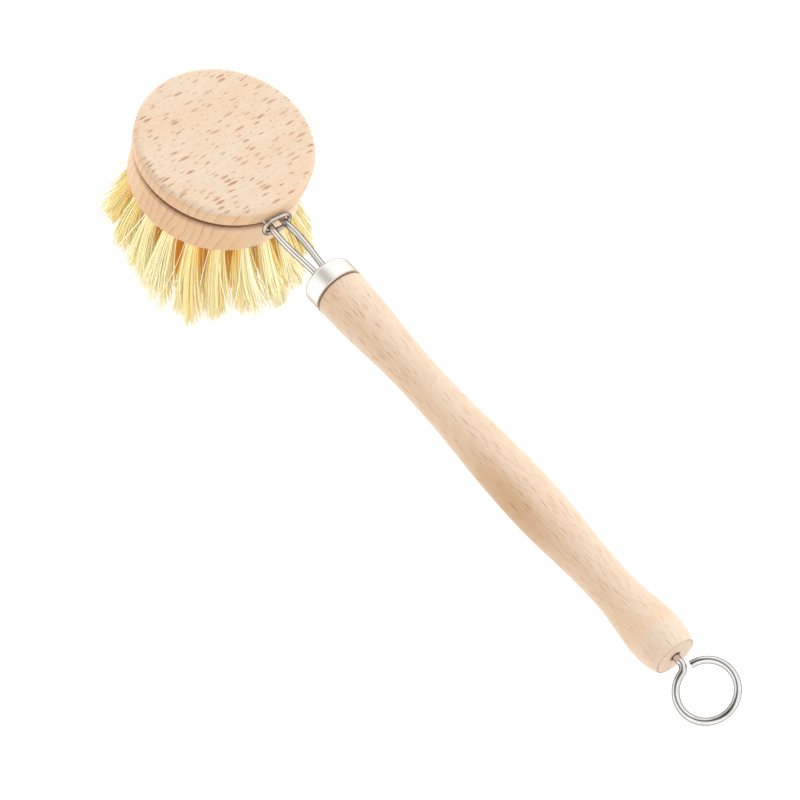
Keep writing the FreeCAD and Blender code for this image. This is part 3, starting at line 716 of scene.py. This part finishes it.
@dataclass
class Grip:
    """The handle with its ferrule and sprung wire loop.

    The handle's sizes are in millimetres, with places along it from the butt's end.
    """

    end: Vector
    axis: Vector
    rays: Vector = field(default_factory=lambda: Vector((0.2, 0.35, 0.9)))
    # The side turned from the key light, where the belly gets painted shade.
    shade_side: Vector = field(default_factory=lambda: Vector((0.0, -1.0, 0.0)))
    length: float = 136.1
    shoulder_radius: float = 7.25
    end_radius: float = 5.6
    shank_radius: float = 1.2
    band_along: float = -8.8
    belly_along: float = -57.0

    def marks(self) -> tuple[TurnedMark, ...]:
        """The handle's toned rings, in the order in which they are laid on.

        Returns:
            The paler end, painted shade on the belly's side turned from the key light, the butt's band,
            painted shadow in the shank's hole, and the dark lines at the end's edge and the ferrule.
        """
        pale_end = TurnedMark(along=0.0, radius=0.0, along_reach=14.0, radius_reach=20.0, strength=0.4,
                              core_share=0.0, color=(0.84, 0.71, 0.61))
        # Painted shade: the belly is deepened on the side turned from the key light.
        belly = TurnedMark(along=self.belly_along, radius=self.shoulder_radius, along_reach=30.0,
                           radius_reach=20.0, strength=1.0, core_share=0.0, color=(0.79, 0.68, 0.53),
                           tint=Tint.DEEPEN, side=self.shade_side)
        band = TurnedMark(along=self.band_along, radius=self.shoulder_radius, along_reach=2.4,
                          radius_reach=3.0, strength=0.22, core_share=0.0, color=(0.80, 0.48, 0.24))
        # Painted shadow in the mouth of the shank's hole.
        hole = TurnedMark(along=0.0, radius=self.shank_radius, along_reach=1.2, radius_reach=0.6,
                          strength=0.85, color=(0.25, 0.09, 0.04))
        end_edge = TurnedMark(along=0.0, radius=self.end_radius, along_reach=0.3, radius_reach=0.22,
                              strength=0.5)
        ferrule_edge = TurnedMark(along=-self.length, radius=self.shoulder_radius, along_reach=0.4,
                                  radius_reach=0.6, strength=0.6)
        return pale_end, belly, band, hole, end_edge, ferrule_edge

    def dress(self) -> None:
        """Finish the three nodes of the grip."""
        beech = BeechFinish(name="handle_beech", grain=self.axis, rays=self.rays, origin=self.end,
                            turned_axis=self.axis, marks=self.marks(), side_warmth=0.6,
                            fleck_cell=spindle_room(7.0, 2.0), fleck_strength=0.1, line_strength=1.0,
                            ring_strength=0.4, pale=(0.745, 0.595, 0.46), warm=(0.74, 0.515, 0.33),
                            deep=(0.38, 0.125, 0.04), sheen=0.08)
        nickel = MetalFinish(name="ferrule_nickel", axis=self.axis, stretch=Vector((9.0, 0.25, 0.25)),
                             bright=(0.98, 0.94, 0.89), dull=(0.92, 0.88, 0.83), edge=(0.62, 0.57, 0.51),
                             smooth=0.36, haze=0.1, dark_rim_start=0.45, dark_rim_end=0.95)
        steel = MetalFinish(name="spring_wire", axis=self.axis, stretch=Vector((0.3, 5.0, 5.0)),
                            bright=(0.86, 0.83, 0.79), dull=(0.70, 0.67, 0.63), edge=(0.20, 0.175, 0.145),
                            smooth=0.1, haze=0.1)
        dress("handle", beech.material())
        dress("ferrule", nickel.material())
        dress("wire_loop", steel.material())


@dataclass
class ClampRing:
    """The oblong ring on the wire's legs."""

    axis: Vector

    def dress(self) -> None:
        """Finish the clamp ring."""
        steel = MetalFinish(name="clamp_wire", axis=self.axis, stretch=Vector((1.6, 1.6, 1.6)),
                            bright=(0.62, 0.58, 0.52), dull=(0.52, 0.485, 0.435), edge=(0.12, 0.095, 0.07),
                            smooth=0.26, haze=0.08, dark_rim_start=0.25, dark_rim_end=0.75, bump_strength=0.1)
        dress("clamp_ring", steel.material())


@dataclass
class HangingEye:
    """The wire eye in the butt."""

    axis: Vector

    def dress(self) -> None:
        """Finish the hanging ring."""
        chrome = MetalFinish(name="eye_nickel", axis=self.axis, stretch=Vector((1.2, 1.2, 1.2)),
                             bright=(0.80, 0.795, 0.78), dull=(0.66, 0.65, 0.63), edge=(0.3, 0.29, 0.28),
                             smooth=0.05, haze=0.08)
        dress("hanging_ring", chrome.material())


@dataclass
class TuftLine:
    """One tuft's own line, from the middle of its mouth to the middle of its trimmed tip."""

    node: str
    ring: Ring
    mouth: Vector
    tip: Vector
    outwards: Vector


@dataclass
class FibreLock:
    """A lock of fibres that keep together down a tuft."""

    middle: Vector
    lean: Vector
    shorter: float
    tone: float


@dataclass
class HeadFrame:
    """The head's own frame, with its origin at the middle of the trimmed tips."""

    origin: Vector
    ahead: Vector
    aside: Vector
    up: Vector

    def point(self, place: Vector) -> Vector:
        """A point of the head's frame in the part's frame."""
        return self.origin + self.ahead * place.x + self.aside * place.y + self.up * place.z


@dataclass
class FibreTemplate:
    """One fibre of length 1 along Z and radius 1, closed at both ends."""

    sides: int = 5
    steps: int = 6
    tip_share: float = 0.4

    def mesh(self) -> Mesh:
        """The template's mesh: a circle, drawn out step by step and narrowed at the tip.

        Returns:
            The new mesh.
        """
        shape = bmesh.new()
        bmesh.ops.create_circle(shape, cap_ends=True, segments=self.sides, radius=1.0)
        rim = list(shape.edges)
        for step in range(1, self.steps + 1):
            drawn = bmesh.ops.extrude_edge_only(shape, edges=rim)["geom"]
            verts = [item for item in drawn if isinstance(item, bmesh.types.BMVert)]
            rim = [item for item in drawn if isinstance(item, bmesh.types.BMEdge)
                   and all(end in verts for end in item.verts)]
            bmesh.ops.translate(shape, verts=verts, vec=(0.0, 0.0, 1.0 / self.steps))
            if step == self.steps:
                narrow = Matrix.Diagonal((self.tip_share, self.tip_share, 1.0))
                bmesh.ops.transform(shape, matrix=narrow.to_4x4(), verts=verts)
        bmesh.ops.edgeloop_fill(shape, edges=rim)
        bmesh.ops.recalc_face_normals(shape, faces=shape.faces)
        mesh = bpy.data.meshes.new("fibre_template")
        shape.to_mesh(mesh)
        shape.free()
        return mesh


@dataclass
class Head:
    """The turned head block with its tufts of fibre.

    The first four sizes, for the painted shade at the groove, are in millimetres, as the wood's finish
    reads them. Tones go from below 0, bleached, to 1, amber; fibres deep in the tufts get painted shade as
    a deeper tone.
    """

    point: Vector
    axis: Vector
    groove_radius: float = 21.1
    groove_low: float = -1.2
    # Where the painted groove shadow and the shade round it lie, out from the groove's floor.
    groove_out: float = 1.3
    groove_shade_out: float = 2.3
    groove_level: float = 37.2 * MM
    reach: float = 25.5 * MM
    mouth_pitch: float = 6.1 * MM
    tip_pitch: float = 8.75 * MM
    root_radius: float = 1.6 * MM
    root_swell_share: float = 1.2
    tight_share: float = 0.45
    tip_radius: float = 3.7 * MM
    sink: float = 2.5 * MM
    first_ring: int = 6
    first_step_share: float = 0.5
    fibre_count: int = 168
    fibre_radius: float = 0.165 * MM
    thinnest_share: float = 0.72
    thickest_share: float = 1.2
    lock_count: int = 7
    lock_place_share: float = 0.68
    lock_scatter_share: float = 0.3
    lock_spread: float = 1.05 * MM
    ragged: float = 3.8 * MM
    ragged_power: float = 2.5
    rounded: float = 1.6 * MM
    rounded_most_share: float = 1.5
    overlong: float = 1.6 * MM
    uneven: float = 0.5 * MM
    sway: float = 1.5 * MM
    lock_sway: float = 0.8 * MM
    lock_uneven: float = 0.9 * MM
    swept_ahead: float = 3.9 * MM
    swept_aside: float = 1.9 * MM
    back_share: float = 0.2
    # Painted shade: amber tone at the roots, ring by ring, and on fibres inside a tuft and deeper in it.
    root_shade_tones: tuple[float, ...] = (1.2, 1.2, 1.1, 0.15)
    root_shade_runs: tuple[float, ...] = (1.6, 1.5, 1.25, 0.7)
    mean_tone: float = 0.2
    tuft_tone: float = 0.06
    lock_tone: float = 0.15
    fibre_tone: float = 0.12
    deepest: float = 0.48
    depth_shade_tone: float = 0.16
    depth_share: float = 0.5
    inside_shade_tone: float = 0.9
    outside_share: float = 0.75
    curl: float = 0.6 * MM
    bow_scale: float = 4.0
    stray_share: float = 0.035
    stray_reach: float = 3.0 * MM
    stray_curl: float = 1.08 * MM
    stray_radius_share: float = 0.7
    stray_tone: float = -0.35
    crossing_share: float = 0.003
    crossing_reach: float = 9.0 * MM
    widest: float = 33.0 * MM
    floor_clearance: float = 0.05 * MM
    grain_turn: float = 95.0
    seed: int = 41
    template: FibreTemplate = field(default_factory=FibreTemplate)

    def __post_init__(self) -> None:
        """Work out the head's frame."""
        aside = Vector((0.0, 1.0, 0.0))
        self.frame = HeadFrame(origin=self.point - self.axis * self.groove_level,
                               ahead=aside.cross(self.axis), aside=aside, up=self.axis)

    def lines(self) -> list[TuftLine]:
        """The line of each tuft.

        Returns:
            The lines, from the middle outwards.
        """
        found = []
        for ring in Ring:
            count = max(1, self.first_ring * ring.value)
            for index in range(count):
                steps = index + self.first_step_share if ring.value else 0.0
                bearing = 2 * math.pi * steps / count
                outwards = Vector((math.cos(bearing), math.sin(bearing), 0.0))
                name = f"tuft_{ring.name.lower()}" + (f"_{index + 1:02d}" if ring.value else "")
                mouth = outwards * (ring.value * self.mouth_pitch) + Vector((0.0, 0.0, self.reach))
                tip = outwards * (ring.value * self.tip_pitch)
                found.append(TuftLine(name, ring, mouth, tip, outwards))
        return found

    def dress(self) -> None:
        """Finish the head block and its anchors."""
        grain = Quaternion(self.axis, math.radians(self.grain_turn)) @ self.frame.ahead
        # Painted shade: a warm brown that fades out over the flange's shoulder below the groove.
        groove_shade = TurnedMark(along=self.groove_low, radius=self.groove_radius + self.groove_shade_out,
                           along_reach=1.6, radius_reach=1.7, strength=0.6, core_share=0.15,
                           color=(0.5, 0.2, 0.085))
        # Painted shadow: a dark brown line on the flange where the cap's lip shades the groove.
        groove = TurnedMark(along=self.groove_low, radius=self.groove_radius + self.groove_out,
                            along_reach=1.1, radius_reach=1.6, strength=0.8, core_share=0.6,
                            color=(0.24, 0.09, 0.035))
        beech = BeechFinish(name="head_beech", grain=grain, rays=self.axis, origin=self.point,
                            turned_axis=self.axis, marks=(groove_shade, groove), side_warmth=0.8,
                            fleck_cell=spindle_room(6.8, 1.5), fleck_strength=0.85, ring_strength=0.7,
                            pale=(0.735, 0.60, 0.46), warm=(0.735, 0.465, 0.26), deep=(0.42, 0.185, 0.075))
        iron = MetalFinish(name="anchor_wire", axis=self.axis, stretch=Vector((2.0, 2.0, 2.0)),
                           bright=(0.6, 0.58, 0.55), dull=(0.4, 0.38, 0.35), edge=(0.3, 0.28, 0.26),
                           smooth=0.3, haze=0.2)
        dress("head_block", beech.material())
        dress("tuft_anchors", iron.material())

    def build_tufts(self) -> tuple[Collection, Collection]:
        """Make every tuft's fibres in place of its solid.

        Returns:
            The outer ring's fibres and the rest, as groups that lamps can be set to.
        """
        outer = bpy.data.collections.new("outer_fibres")
        rest = bpy.data.collections.new("inner_fibres")
        template = self.template.mesh()
        material = FibreFinish().material()
        dice = random.Random(self.seed)
        for line in self.lines():
            self.build_tuft(line, template, material, outer if line.ring is Ring.OUTER else rest, dice)
        bpy.data.meshes.remove(template)
        return outer, rest

    def build_tuft(self, line: TuftLine, template: Mesh, material: Material,
                   lit: Collection, dice: random.Random) -> None:
        """Make one tuft.

        Args:
            line: The tuft's own line.
            template: The fibre to copy.
            material: The fibres' material.
            lit: The group that the fibres join.
            dice: The source of the tuft's unevenness.
        """
        shape = bmesh.new()
        tone_and_shade_layer = shape.verts.layers.float.new("fibre_tone")
        lean = Vector((dice.uniform(-1, 1), dice.uniform(-1, 1), 0.0)) * self.sway
        swept_share = 1.0 + (1.0 - self.back_share) * min(0.0, line.outwards.x)
        lean += Vector((self.swept_ahead * swept_share, self.swept_aside, dice.gauss(0, self.uneven)))
        tuft_tone = dice.gauss(self.mean_tone, self.tuft_tone)
        turn = dice.uniform(0, 2 * math.pi)
        locks = []
        for index in range(self.lock_count):
            around = turn + 2 * math.pi * index / (self.lock_count - 1)
            out = self.lock_place_share if index else 0.0
            middle = Vector((math.cos(around), math.sin(around), 0.0)) * out
            lock_lean = lean + Vector((dice.gauss(0, 1), dice.gauss(0, 1), 0.0)) * self.lock_sway
            shorter = abs(dice.gauss(0, self.lock_uneven))
            locks.append(FibreLock(middle, lock_lean, shorter, tuft_tone + dice.gauss(0, self.lock_tone)))
        for index in range(self.fibre_count):
            self.add_fibre(shape, template, line, locks[index % self.lock_count], tone_and_shade_layer, dice)
        mesh = bpy.data.meshes.new(line.node + "_fibres")
        shape.to_mesh(mesh)
        shape.free()
        mesh.materials.append(material)
        mesh.shade_smooth()
        piece = bpy.data.objects.new(line.node + "_fibres", mesh)
        bpy.context.scene.collection.objects.link(piece)
        lit.objects.link(piece)
        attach(piece, HEAD_BODY)
        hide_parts(line.node)
        log.info("%s: %d fibres, %d faces", piece.name, self.fibre_count, len(mesh.polygons))

    def add_fibre(self, shape: bmesh.types.BMesh, template: Mesh, line: TuftLine,
                  lock: FibreLock, tone_and_shade_layer: bmesh.types.BMLayerItem, dice: random.Random) -> None:
        """Add one fibre to a tuft.

        Args:
            shape: The tuft's mesh so far.
            template: The fibre to copy.
            line: The tuft's own line.
            lock: The lock that the fibre is in.
            tone_and_shade_layer: The layer that keeps the tone along each fibre, with its painted shade.
            dice: The source of unevenness.
        """
        shape.from_mesh(template)
        shape.verts.ensure_lookup_table()
        verts = shape.verts[-len(template.vertices):]
        down = (line.tip - line.mouth).normalized()
        scatter = Vector((dice.gauss(0, 1), dice.gauss(0, 1), 0.0))
        root = lock.middle + scatter * self.lock_scatter_share
        root = root / max(1.0, root.length)
        chance = dice.random()
        stray = chance < self.stray_share
        spread = self.stray_reach if stray else self.lock_spread
        if chance < self.crossing_share:
            spread = self.crossing_reach
        start = line.mouth - down * self.sink + root * self.root_radius
        middle = line.mouth + down * (self.tight_share * self.reach)
        middle += root * (self.root_radius * self.root_swell_share)
        end = line.tip + lock.lean + lock.middle * self.tip_radius + scatter * spread
        rim_share = (end - line.tip - lock.lean).length / self.tip_radius
        shorter = self.ragged * dice.random() ** self.ragged_power
        shorter += self.rounded * min(self.rounded_most_share, rim_share) ** 2
        end.z += shorter
        end.z += lock.shorter - self.overlong
        flat = Vector((end.x, end.y, 0.0))
        end -= flat * max(0.0, 1.0 - self.widest / flat.length)
        bow = Vector((dice.gauss(0, 1), dice.gauss(0, 1), 0.0)) * (self.stray_curl if stray else self.curl)
        radius = self.fibre_radius * dice.uniform(self.thinnest_share, self.thickest_share)
        radius *= self.stray_radius_share if stray else 1.0
        tone = self.stray_tone if stray else min(self.deepest, lock.tone + dice.gauss(0, self.fibre_tone))
        # Painted shade: fibres inside a tuft get a deeper tone, and toward the root a deeper amber still,
        # as where shade falls in and between the tufts.
        outside = root.dot(line.outwards)
        tone += 0.0 if stray else self.depth_shade_tone * (self.depth_share - outside)
        inside = max(0.0, self.outside_share - outside) * self.inside_shade_tone
        root_shade = 0.0 if stray else self.root_shade_tones[line.ring.value] + inside
        root_shade_run = self.root_shade_runs[line.ring.value]
        spin = dice.uniform(0, 2 * math.pi)
        other = Vector((math.cos(spin), math.sin(spin), 0.0)).cross(down).normalized()
        side = down.cross(other)
        for vert in verts:
            run = vert.co.z
            rest = 1.0 - run
            center = start * rest ** 2 + middle * (2 * run * rest) + end * run ** 2
            center = center + bow * (run * run * rest * self.bow_scale)
            place = center + (side * vert.co.x + other * vert.co.y) * radius
            vert[tone_and_shade_layer] = tone + root_shade * max(0.0, 1.0 - run / root_shade_run)
            vert.co = self.frame.point(place)
            vert.co.z = max(vert.co.z, self.floor_clearance)


@dataclass
class Studio:
    """The pale floor, the soft light all round and the camera."""

    aim: Vector = field(default_factory=lambda: Vector((0.0, 0.0, 0.0)))
    camera_place: Vector = field(default_factory=lambda: Vector((415.609, -354.817, 513.940)) * MM)
    view_azimuth: float = -40.2406
    view_elevation: float = 42.3893
    camera_roll: float = 2.5256
    field_of_view: float = 16.1473
    floor_half_width: float = 6.0
    floor_color: Color = (0.36, 0.36, 0.355)
    floor_glow: float = 0.85
    floor_roughness: float = 0.9
    paper_scale: float = 40.0
    paper_shade_share: float = 0.985
    dome_color: Color = (1.0, 0.995, 0.985)
    dome_strength: float = 1.2
    dark_bar_end: Vector = field(default_factory=lambda: Vector((-0.294, -0.494, 0.822)))
    dark_bar_length_share: float = 0.72
    dark_bar_width_share: float = 0.31
    dark_bar_soft_share: float = 0.8
    dark_bar_fade: float = 0.3
    dark_room_color: Color = (0.03, 0.03, 0.03)
    key_place: Vector = field(default_factory=lambda: Vector((0.5, 0.75, 1.3)))
    end_place: Vector = field(default_factory=lambda: Vector((-1.3, -0.2, 0.5)))
    left_place: Vector = field(default_factory=lambda: Vector((-0.6, -0.7, 0.3)))
    front_place: Vector = field(default_factory=lambda: Vector((0.55, -0.6, 0.42)))
    fill_size: float = 0.7
    camera_reach: float = 20.0

    def toward_view(self) -> Vector:
        """The direction from the brush to the camera.

        Returns:
            The direction, of length 1.
        """
        azimuth = math.radians(self.view_azimuth)
        elevation = math.radians(self.view_elevation)
        return Vector((math.cos(elevation) * math.cos(azimuth), math.cos(elevation) * math.sin(azimuth),
                       math.sin(elevation)))

    def build(self, outer: Collection, inner: Collection) -> None:
        """Set up the floor, light and camera.

        Args:
            outer: The outer tufts' fibres, which have two lamps of their own.
            inner: The other tufts' fibres, which have two stronger ones.
        """
        bpy.context.scene.view_settings.view_transform = "Standard"
        self.build_floor()
        self.build_dome()
        self.build_lamp("key_softbox", self.key_place, size=0.9, power=8.4)
        self.build_lamp("end_softbox", self.end_place, size=0.8, power=6.0)
        blockers = bpy.data.collections.new("fill_blockers")
        blockers.objects.link(frame["nodes"]["head_block"])
        for fibres, name, place, power in ((outer, "outer_left_fill", self.left_place, 1.4),
                                           (outer, "outer_front_fill", self.front_place, 4.2),
                                           (inner, "inner_left_fill", self.left_place, 2.2),
                                           (inner, "inner_front_fill", self.front_place, 5.6)):
            fill = self.build_lamp(name, place, self.fill_size, power)
            fill.light_linking.receiver_collection = fibres
            fill.light_linking.blocker_collection = blockers
        self.build_camera()

    def build_floor(self) -> None:
        """A wide pale floor that glows a little, as a light table does."""
        shape = bmesh.new()
        bmesh.ops.create_grid(shape, x_segments=1, y_segments=1, size=self.floor_half_width)
        mesh = bpy.data.meshes.new("floor")
        shape.to_mesh(mesh)
        shape.free()
        material, sheet, shader = new_material("pale_floor")
        where = sheet.add("ShaderNodeTexCoord")
        paper = sheet.noise(where.outputs["Object"], self.paper_scale, detail=3.0)
        shaded = tuple(part * self.paper_shade_share for part in self.floor_color)
        color = sheet.blend(paper, rgba(self.floor_color), rgba(shaded))
        sheet.fill(shader, {"Base Color": color, "Roughness": self.floor_roughness,
                            "Specular IOR Level": 0.0, "Emission Color": rgba(self.dome_color),
                            "Emission Strength": self.floor_glow})
        mesh.materials.append(material)
        floor = bpy.data.objects.new("floor", mesh)
        bpy.context.scene.collection.objects.link(floor)

    def build_dome(self) -> None:
        """White light from all round, with the dark of the room behind the camera."""
        world = bpy.data.worlds.new("studio")
        bpy.context.scene.world = world
        world.use_nodes = True
        world.node_tree.nodes.clear()
        sheet = NodeSheet(world.node_tree)
        where = sheet.add("ShaderNodeTexCoord").outputs["Generated"]
        middle = (self.toward_view() + self.dark_bar_end).normalized()
        across = self.toward_view().cross(self.dark_bar_end).normalized()
        along = middle.cross(across)
        length = sheet.math("DIVIDE", sheet.vector("DOT_PRODUCT", where, along), self.dark_bar_length_share)
        width = sheet.math("DIVIDE", sheet.vector("DOT_PRODUCT", where, across), self.dark_bar_width_share)
        squares = sheet.math("MULTIPLY_ADD", width, width, sheet.math("MULTIPLY", length, length))
        soft = self.dark_bar_soft_share
        dark = sheet.ramp(sheet.math("SQRT", squares), 1.0 + soft, 1.0 - soft)
        above = sheet.ramp(sheet.vector("DOT_PRODUCT", where, middle), 0.0, self.dark_bar_fade)
        share = sheet.math("MULTIPLY", dark, above)
        color = sheet.blend(share, rgba(self.dome_color), rgba(self.dark_room_color))
        light = sheet.add("ShaderNodeBackground", {"Color": color, "Strength": self.dome_strength})
        sheet.add("ShaderNodeOutputWorld", {"Surface": light.outputs[0]})

    def build_lamp(self, name: str, place: Vector, size: float, power: float) -> Object:
        """A square softbox that faces the brush and isn't mirrored in the metal.

        Args:
            name: The lamp's name.
            place: Where it stands.
            size: The length of its sides.
            power: Its power in watts.

        Returns:
            The lamp's object.
        """
        lamp = bpy.data.lights.new(name, "AREA")
        lamp.size = size
        lamp.energy = power
        holder = bpy.data.objects.new(name, lamp)
        bpy.context.scene.collection.objects.link(holder)
        holder.location = place
        holder.rotation_euler = (self.aim - place).to_track_quat("-Z", "Y").to_euler()
        holder.visible_glossy = False
        return holder

    def build_camera(self) -> None:
        """The camera at the photograph's viewing angle."""
        camera = bpy.data.cameras.new("camera")
        camera.sensor_fit = "HORIZONTAL"
        camera.angle = math.radians(self.field_of_view)
        camera.clip_end = self.camera_reach
        holder = bpy.data.objects.new("camera", camera)
        bpy.context.scene.collection.objects.link(holder)
        turn = self.toward_view().to_track_quat("Z", "Y")
        roll = Quaternion(self.toward_view(), math.radians(self.camera_roll))
        holder.rotation_euler = (roll @ turn).to_euler()
        holder.location = self.camera_place
        bpy.context.scene.camera = holder


def main() -> None:
    """Build the classes in order."""
    logging.basicConfig(level=logging.INFO, format="%(name)s: %(message)s")
    grip_axis = Vector(joint_named("clamp_slide")["axis"])
    head_turn = joint_named("head_turn")
    butt_end = Vector(joint_named("eye_turn")["pos_m"])
    Grip(end=butt_end, axis=grip_axis).dress()
    ClampRing(axis=grip_axis).dress()
    HangingEye(axis=grip_axis).dress()
    head = Head(point=Vector(head_turn["pos_m"]), axis=Vector(head_turn["axis"]))
    head.dress()
    outer, inner = head.build_tufts()
    Studio().build(outer, inner)


if __name__ == "__main__":
    main()
